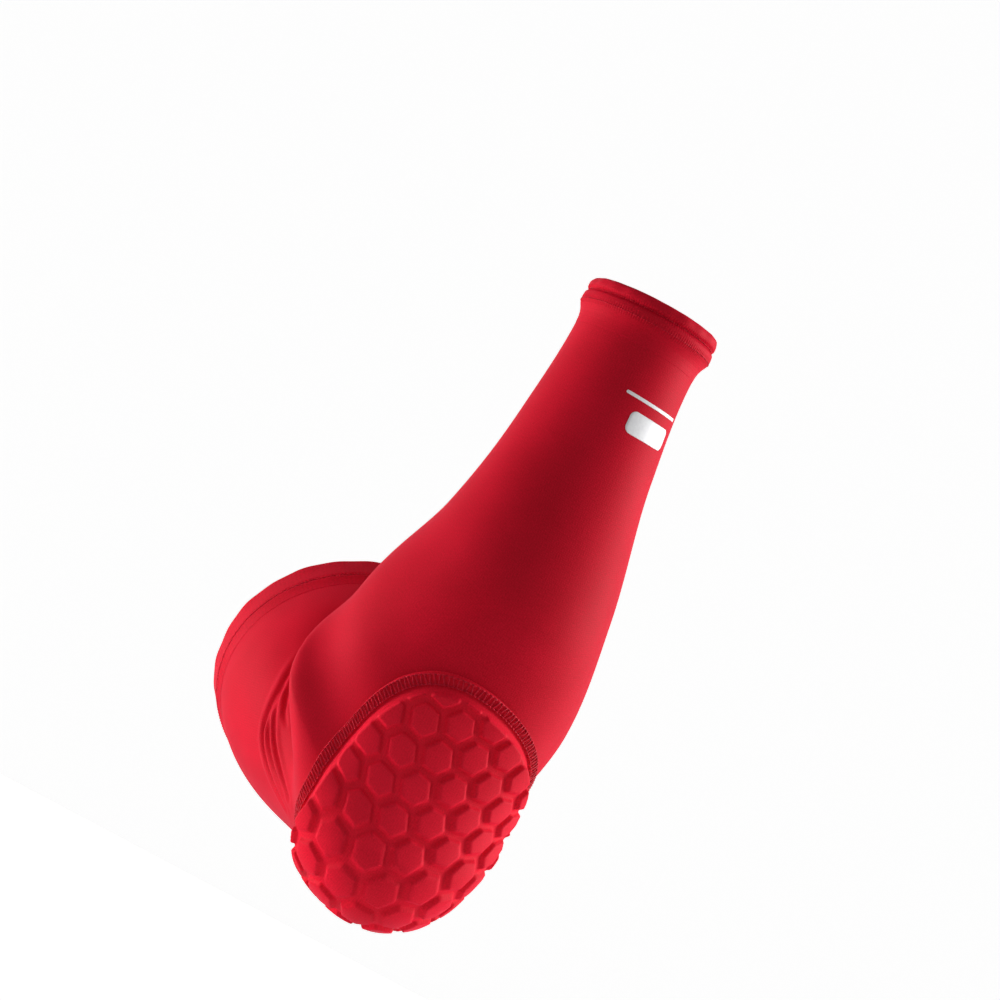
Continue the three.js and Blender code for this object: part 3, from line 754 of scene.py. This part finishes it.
def make_closing_seam():
    """The flat seam that closes the tube, on the side of the arm that faces the body."""
    first, last = from_opening(-1, 13.5), from_opening(1, 15.5)
    count = int((last - first) / CROSS_PITCH)
    b = np.linspace(first, last, count)
    centre = np.stack([np.zeros(count), b], -1)
    inward = np.tile([1.0, 0.0], (count, 1))

    def place(a, at, lift):
        at = np.clip(at, first, last)
        psi = SEAM_AT + a / mean_radius(at)
        return on_sleeve(at, psi, crease_height(at, psi) + lift)

    obj = ladder("closing_seam_threads", centre, inward, place, 2.0)
    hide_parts("upper_flatlock_seam", "elbow_flatlock_seam", "forearm_flatlock_seam")


# ---- Hems -----------------------------------------------------------------------------------------------

WRIST_EDGE_ROW, WRIST_SECOND_ROW, UPPER_ROW = 5.0, 9.5, 11.5  # stitches from the opening, in mm
HEM_THREAD = 0.2  # radius


def resampled(points, spacing):
    """A closed polyline with a point about every spacing, its corners kept."""
    out = []
    for here, there in zip(points, points[1:] + points[:1]):
        here, there = np.array(here, float), np.array(there, float)
        count = max(1, int(np.linalg.norm(there - here) / spacing))
        out += [here + (there - here) * k / count for k in range(count)]
    return np.array(out)


def hem_height(distance, lobes, grooves, groove_height):
    """Outer height of a hem: rounded lobes between its edge and its rows of stitches."""
    height = np.interp(distance, [l[0] for l in lobes], [l[1] for l in lobes])
    for at in grooves:
        height = height - (height - groove_height) * bump_at(distance, at, 0.75)
    return height


def hem_outer(lobes, grooves, width, groove_height):
    """(distance, height) along the outside, from the inner edge of the hem to its lip."""
    distance = np.arange(width - 0.3, 0.25, -0.28)
    height = hem_height(distance, lobes, grooves, groove_height)
    return [(d, h) for d, h in zip(distance, height)]


def pucker(end, grooves, pitch_count, slow):
    """Little waves along the rows of stitches, and slower ones along the lip."""

    def extra(b, psi):
        distance = B_WRIST - b if end > 0 else b - B_UPPER
        waves = np.zeros(np.broadcast(b, psi).shape)
        for at in grooves:
            near = bump_at(distance, at + 0.9, 0.8) + bump_at(distance, at - 0.9, 0.8)
            waves += 0.13 * near * np.cos(pitch_count * psi)
        lip = bump_at(distance, 1.5, 3.0)
        waves += lip * (0.16 * np.sin(slow * psi + 1.0) + 0.12 * np.sin((slow * 2 + 3) * psi))
        return waves

    return extra


def hem_stitches(name, end, distance, height, count):
    """One row of stitches right round a hem."""
    psi = np.arange(count) * 2 * math.pi / count
    step = np.linspace(-0.36, 0.36, 7) * 2 * math.pi / count
    at = psi[:, None] + step[None, :]
    b = from_opening(end, distance) + 0 * at
    lift = height + 0.16 + 0.16 * np.cos(step / step[-1] * math.pi / 2)[None, :] + 0 * at
    line = on_sleeve(b, at, lift)
    obj = strands(name, line, line - on_sleeve(b, at, lift - 0.5), HEM_THREAD)
    finish_piece(obj, THREAD_RED, "thread")
    return obj


def hem_piece(name, end, lobes, grooves, reach, groove_height, steps, waves):
    """A folded hem: a puffed edge, a row of stitches, and a turn-up that fades into the sleeve."""
    outer = hem_outer(lobes, grooves, reach, groove_height)
    lip = [(0.05, 0.8), (0.0, -0.3), (0.3, -0.9), (1.0, -0.95), (1.0, 1.15)]
    path = [(reach - 0.2, 0.03), *outer, *lip, (9.6, 1.15), (10.4, 0.02)]
    loop = resampled(path[::-1], 0.9)
    if end < 0:
        loop = loop[::-1]
    obj = closed_ring(name, from_opening(end, loop[:, 0]), loop[:, 1], steps, waves)
    finish_piece(obj, HEM_RED, "hem")
    return obj


def make_wrist_hem():
    lobes = [(0.2, 1.1), (0.7, 1.7), (1.6, 2.1), (2.8, 2.2), (4.0, 2.1), (5.0, 1.9), (6.0, 2.3), (7.6, 2.5),
             (9.5, 2.35), (11.0, 1.8), (12.5, 1.1), (14.0, 0.55), (16.0, 0.2), (18.6, 0.06)]
    waves = pucker(1, (WRIST_EDGE_ROW, WRIST_SECOND_ROW), 160, 9)
    obj = hem_piece("wrist_hem_fold", 1, lobes, (WRIST_EDGE_ROW,), 18.8, 1.2, 640, waves)
    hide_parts("wrist_hem")
    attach(obj, "forearm_sleeve")
    for name, at, height, node in (
            ("wrist_edge_stitches", WRIST_EDGE_ROW, 1.2, "wrist_stitch_outer"),
            ("wrist_second_stitches", WRIST_SECOND_ROW, 2.15, "wrist_stitch_inner")):
        row = hem_stitches(name, 1, at, height, 160)
        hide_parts(node)
        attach(row, "forearm_sleeve")


def make_upper_hem():
    lobes = [(0.2, 1.0), (0.7, 1.5), (1.6, 1.75), (3.2, 1.7), (6.0, 1.6), (9.0, 1.55), (11.0, 1.5),
             (12.4, 1.35), (13.4, 1.0), (14.6, 0.6), (16.0, 0.25), (17.0, 0.08)]
    waves = pucker(-1, (UPPER_ROW,), 240, 11)
    obj = hem_piece("upper_hem_fold", -1, lobes, (UPPER_ROW,), 17.2, 1.15, 720, waves)
    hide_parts("upper_hem")
    bends(obj)
    row = hem_stitches("upper_edge_stitches", -1, UPPER_ROW, 1.1, 260)
    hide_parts("upper_stitch")
    bends(row)


DOT_PITCH, DOTS_ROUND = 2.6, 100


def make_gripper():
    """The silicone band inside the upper hem, with small domes that hold the skin."""
    path = [(2.0, -1.3), (2.0, -1.75), (2.3, -2.0), (11.7, -2.0), (12.0, -1.75), (12.0, -1.3), (11.7, -1.05),
            (2.3, -1.05)]
    loop = resampled(path, 0.42)

    def extra(b, psi):
        distance = b - B_UPPER
        inside = 0.42 * smooth(distance, 2.6, 3.4) * (1 - smooth(distance, 10.6, 11.4))
        rows = np.clip(np.cos(math.pi * 2 * (distance - 3.0) / DOT_PITCH), 0, 1)
        dots = rows * np.clip(np.cos(DOTS_ROUND * psi), 0, 1)
        on_skin_side = (loop[:, 1] < -1.9).astype(float)
        return -inside * dots * on_skin_side[:, None]

    obj = closed_ring("gripper_band", from_opening(-1, loop[:, 0]), loop[:, 1], 600, extra)
    finish_piece(obj, SILICONE, "silicone", "upper_gripper_tape")
    bends(obj)


# ---- Print, label and elastic -----------------------------------------------------------------------------


def rounded_patch(name, centre_b, centre_psi, size, corner, low, high):
    """A thin strip with rounded corners, lying on the sleeve."""
    half_a, half_b = size[0] / 2, size[1] / 2
    v = np.linspace(-1, 1, 79)
    u = np.linspace(-1, 1, 31)
    rows, across = np.meshgrid(v * half_b, u, indexing="ij")
    over = np.clip(np.abs(rows) - (half_b - corner), 0, corner - 0.04)
    a = across * (half_a - corner + np.sqrt(corner ** 2 - over ** 2))
    b = centre_b + rows
    psi = centre_psi + a / mean_radius(np.full(a.shape, centre_b))
    edge = np.minimum(half_b - np.abs(rows), half_a * (1 - np.abs(across)))
    top = low + (high - low) * (0.35 + 0.65 * smooth(edge, 0, 0.35))
    outer, inner = on_sleeve(b, psi, top), on_sleeve(b, psi, np.full(a.shape, low))
    return shell(name, outer, inner, np.stack([a, b], -1), False)


def make_print():
    """A plain bar with a thin line beside it, where the sleeve carries its print."""
    bar = rounded_patch("wrist_print_bar", from_opening(1, 46.0), 0.42, (23.0, 9.0), 2.6, 0.03, 0.25)
    finish_piece(bar, PRINT, "print", "wrist_print")
    line = rounded_patch("wrist_print_line", from_opening(1, 36.5), 0.36, (30.0, 1.3), 0.6, 0.03, 0.22)
    finish_piece(line, PRINT, "print")
    for obj in (bar, line):
        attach(obj, "forearm_sleeve")


def make_label():
    low = -KNIT - 0.8
    obj = rounded_patch("blank_label", from_opening(-1, 27.0), LABEL_AT, LABEL_SIZE, 1.2, low, low + 0.4)
    finish_piece(obj, LABEL, "label", "care_label")
    bends(obj)


def make_elastic():
    """The woven band inside each hem."""
    path = [(1.6, 0.3), (1.4, 0.45), (1.4, 0.85), (1.6, 1.0), (9.2, 1.0), (9.4, 0.85), (9.4, 0.45),
            (9.2, 0.3)]
    loop = resampled(path, 0.6)
    for name, end, node in (
            ("wrist_elastic_band", 1, "wrist_elastic"),
            ("upper_elastic_band", -1, "upper_elastic")):
        turned = loop[::-1] if end > 0 else loop
        obj = closed_ring(name, from_opening(end, turned[:, 0]), turned[:, 1], 240)
        finish_piece(obj, ELASTIC, "elastic", node)
        if end > 0:
            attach(obj, "forearm_sleeve")
        else:
            bends(obj)


make_sleeve_knit()
make_pad_cover()
make_pad_lining()
make_foam()
make_pad_seam()
make_closing_seam()
make_wrist_hem()
make_upper_hem()
make_gripper()
make_print()
make_label()
make_elastic()

# ---- Camera, floor and light ------------------------------------------------------------------------------

AZIMUTH, ELEVATION, ROLL = math.radians(-21.62), math.radians(-6.0), math.radians(27.92)
DISTANCE = 1.566
FOCAL_LENGTH, SENSOR = 148.35, 36.0
AIM_ASIDE, AIM_UP = 0.0471, 0.1302  # from the arc's centre to the middle of the view


def camera_axes():
    back = Vector((math.cos(AZIMUTH) * math.cos(ELEVATION), math.sin(AZIMUTH) * math.cos(ELEVATION),
                   math.sin(ELEVATION)))
    level_up = (Vector((0, 0, 1)) - back * back.z).normalized()
    level_right = level_up.cross(back)
    up = level_up * math.cos(ROLL) - level_right * math.sin(ROLL)
    return up.cross(back), up, back


def make_camera():
    right, up, back = camera_axes()
    data = bpy.data.cameras.new("camera")
    data.lens, data.sensor_width = FOCAL_LENGTH, SENSOR
    data.clip_start, data.clip_end = 0.05, 80
    camera = bpy.data.objects.new("camera", data)
    place = Vector(TO_JOINT / 1000) + right * AIM_ASIDE + up * AIM_UP + back * DISTANCE
    rotation = Matrix((right, up, back)).transposed()
    camera.matrix_world = Matrix.Translation(place) @ rotation.to_4x4()
    bpy.context.scene.collection.objects.link(camera)
    bpy.context.scene.camera = camera


def area_light(name, direction, distance, size, power):
    data = bpy.data.lights.new(name, "AREA")
    data.shape, data.size, data.energy = "SQUARE", size, power
    light = bpy.data.objects.new(name, data)
    middle = Vector((0.0, 0.0, 0.06))
    toward = Vector(direction).normalized()
    light.location = middle + toward * distance
    light.rotation_euler = toward.to_track_quat("Z", "Y").to_euler()
    bpy.context.scene.collection.objects.link(light)


def make_studio():
    right, up, back = camera_axes()
    area_light("left_softbox", -right * 1.0 + up * 0.1 - back * 0.1, 1.5, 0.9, 54)
    area_light("right_softbox", right * 1.0 - up * 0.25 - back * 0.3, 1.5, 0.9, 30)
    area_light("low_softbox", -up * 1.0 - right * 0.35 + back * 0.45, 1.5, 0.9, 38)
    area_light("front_fill", back * 1.0 - right * 0.7 + up * 0.1, 2.2, 1.2, 4)
    world = bpy.data.worlds.new("studio")
    world.use_nodes = True
    world.node_tree.nodes["Background"].inputs["Color"].default_value = (1, 1, 1, 1)
    world.node_tree.nodes["Background"].inputs["Strength"].default_value = 0.36
    scene = bpy.context.scene
    scene.world = world
    scene.view_settings.view_transform = "Standard"


FLOOR_BELOW, FLOOR_RADIUS, WALL_HEIGHT, FLOOR_SIDES = 0.32, 30.0, 24.0, 96  # metres, and a count


def make_floor():
    """A wide pale floor, far enough below that the sleeve's shadow is soft, and a pale wall round it."""
    floor_z = cad_box[0][2] - FLOOR_BELOW
    radius, height, count = FLOOR_RADIUS, WALL_HEIGHT, FLOOR_SIDES
    turn = np.arange(count) * 2 * math.pi / count
    low = [(radius * math.cos(t), radius * math.sin(t), floor_z) for t in turn]
    high = [(x, y, floor_z + height) for x, y, _ in low]
    sides = [(k, (k + 1) % count, count + (k + 1) % count, count + k) for k in range(count)]
    material = Material("studio_white", (0.9, 0.9, 0.9), 0.9)
    material.set(material.shader, {"Emission Color": (1, 1, 1, 1), "Emission Strength": 0.65})
    for name, faces in (("studio_floor", [list(range(count))]), ("studio_wall", sides)):
        mesh = bpy.data.meshes.new(name)
        mesh.from_pydata(low + high if name == "studio_wall" else low, [], faces)
        mesh.materials.append(material.material)
        obj = bpy.data.objects.new(name, mesh)
        bpy.context.scene.collection.objects.link(obj)
        obj.visible_diffuse = False
        obj.visible_shadow = name == "studio_floor"


make_camera()
make_studio()
make_floor()

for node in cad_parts.values():
    if not node.data.materials:
        node.data.materials.append(LINING)
